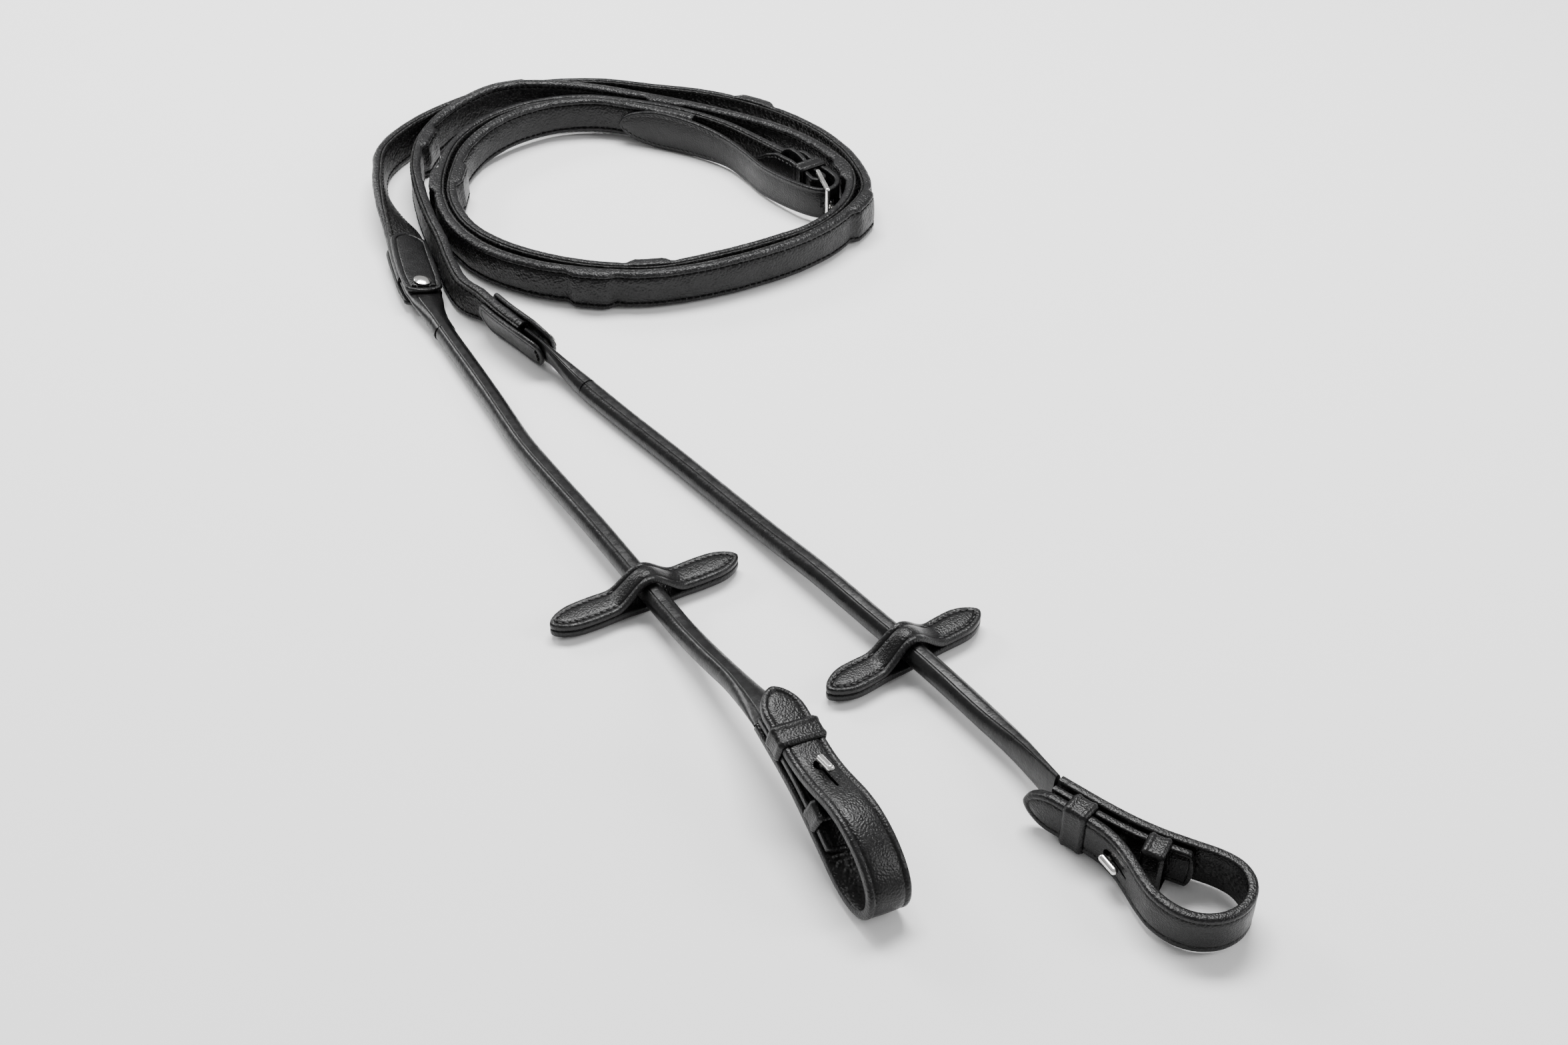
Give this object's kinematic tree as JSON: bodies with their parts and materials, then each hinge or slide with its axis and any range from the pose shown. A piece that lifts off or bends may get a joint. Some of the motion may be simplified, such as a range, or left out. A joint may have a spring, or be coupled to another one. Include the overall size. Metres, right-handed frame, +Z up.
{
  "type": "leather reins",
  "caption": "Pair of leather reins with padded grips, rolled lower ends, rein stops, hook stud billets and a centre buckle, laid in a coil.",
  "frame": {"origin": "middle of the coiled reins' outline, on the surface that they lie on", "axes": "+Z up off the surface; the two billets lie towards -Y and the coiled grips towards +Y; +X is to the right seen from the billets' end"},
  "size_m": [0.3517, 0.554, 0.0344],
  "materials": {
    "bridle_leather": "smooth black with a soft sheen",
    "soft_leather": "soft grained black",
    "strap_leather": "flesh side, dull black",
    "stud_metal": "polished stainless steel",
    "buckle_metal": "polished stainless steel",
    "cord": "plain cord"
  },
  "bodies": {
    "reins": {"left_grip_cover": "soft_leather", "left_grip_lining": "strap_leather", "left_grip_core": "strap_leather", "left_finger_stops": "strap_leather", "left_rolled_cover": "bridle_leather", "left_rolled_cord": "cord", "left_join_front_tab": "bridle_leather", "left_join_back_tab": "bridle_leather", "left_join_rivet": "stud_metal", "left_billet_strap": "bridle_leather", "left_billet_base": "bridle_leather", "left_upper_keeper": "bridle_leather", "left_lower_keeper": "bridle_leather", "left_hook_stud": "stud_metal", "left_stud_plate": "stud_metal", "right_grip_cover": "soft_leather", "right_grip_lining": "strap_leather", "right_grip_core": "strap_leather", "right_finger_stops": "strap_leather", "right_rolled_cover": "bridle_leather", "right_rolled_cord": "cord", "right_join_front_tab": "bridle_leather", "right_join_back_tab": "bridle_leather", "right_join_rivet": "stud_metal", "right_billet_strap": "bridle_leather", "right_billet_base": "bridle_leather", "right_upper_keeper": "bridle_leather", "right_lower_keeper": "bridle_leather", "right_hook_stud": "stud_metal", "right_stud_plate": "stud_metal", "buckle_chape": "bridle_leather", "buckle_keeper": "bridle_leather", "buckle_strap": "bridle_leather"},
    "left_rein_stop": {"left_stop_top": "bridle_leather", "left_stop_bottom": "bridle_leather"},
    "right_rein_stop": {"right_stop_top": "bridle_leather", "right_stop_bottom": "bridle_leather"},
    "centre_buckle": {"buckle_frame": "buckle_metal"},
    "tongue": {"buckle_tongue": "buckle_metal"}
  },
  "joints": [
    {"name": "left_stop_slide", "type": "slide", "parent": "reins", "child": "left_rein_stop", "axis": [0.526, -0.8505, 0], "range_m": [-0.015, 0.015]},
    {"name": "right_stop_slide", "type": "slide", "parent": "reins", "child": "right_rein_stop", "axis": [0.6102, -0.7923, 0], "range_m": [-0.015, 0.015]},
    {"name": "buckle_swing", "type": "hinge", "parent": "reins", "child": "centre_buckle", "pos_m": [0.0445, 0.1765, 0.0107], "axis": [0, 0, 1], "range_deg": [-8, 0]},
    {"name": "tongue_swing", "type": "hinge", "parent": "reins", "child": "tongue", "pos_m": [0.0445, 0.1765, 0.0107], "axis": [0, 0, 1], "range_deg": [0, 4]}
  ]
}
